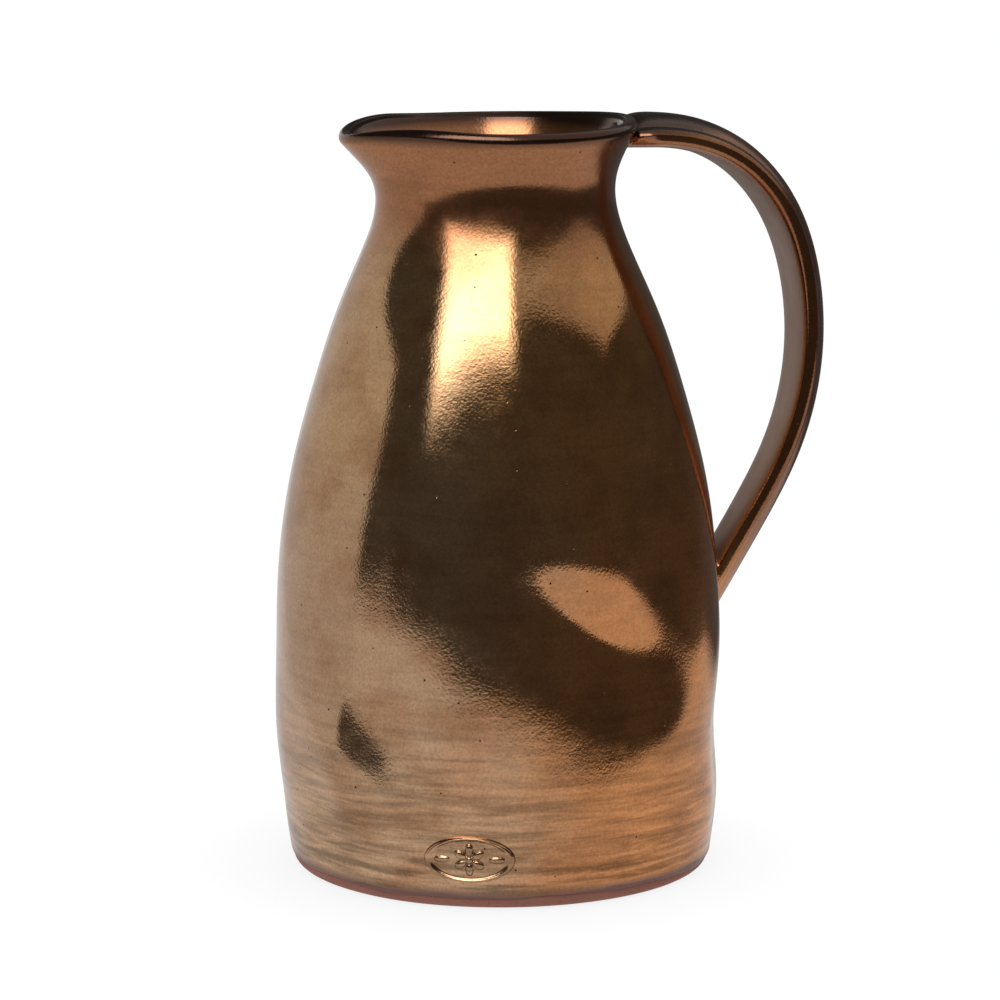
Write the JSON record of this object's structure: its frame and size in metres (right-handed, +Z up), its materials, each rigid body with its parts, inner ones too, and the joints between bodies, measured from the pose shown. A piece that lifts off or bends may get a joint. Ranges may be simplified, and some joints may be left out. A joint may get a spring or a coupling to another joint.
{
  "type": "ceramic water jug",
  "caption": "Tall hand-built ceramic jug with a flared lip, a pulled spout, a strap handle and a copper-coloured lustre glaze over red clay.",
  "frame": {"origin": "centre of the flat ring and disc that the foot stands on", "axes": "+Z up through the mouth, +X towards the handle with the spout at -X, -Y the front with the seal"},
  "size_m": [0.1905, 0.1488, 0.2537],
  "materials": {
    "bare_clay": "matte",
    "lustre_glaze": "gloss",
    "inner_glaze": "gloss"
  },
  "bodies": {
    "root": {"floor_slab": "bare_clay", "body_wall": "bare_clay", "handle_strap": "bare_clay", "upper_collar": "lustre_glaze", "lower_collar": "lustre_glaze", "outer_glaze": "lustre_glaze", "inner_glaze": "inner_glaze", "handle_glaze": "lustre_glaze", "makers_seal": "lustre_glaze"}
  },
  "joints": []
}
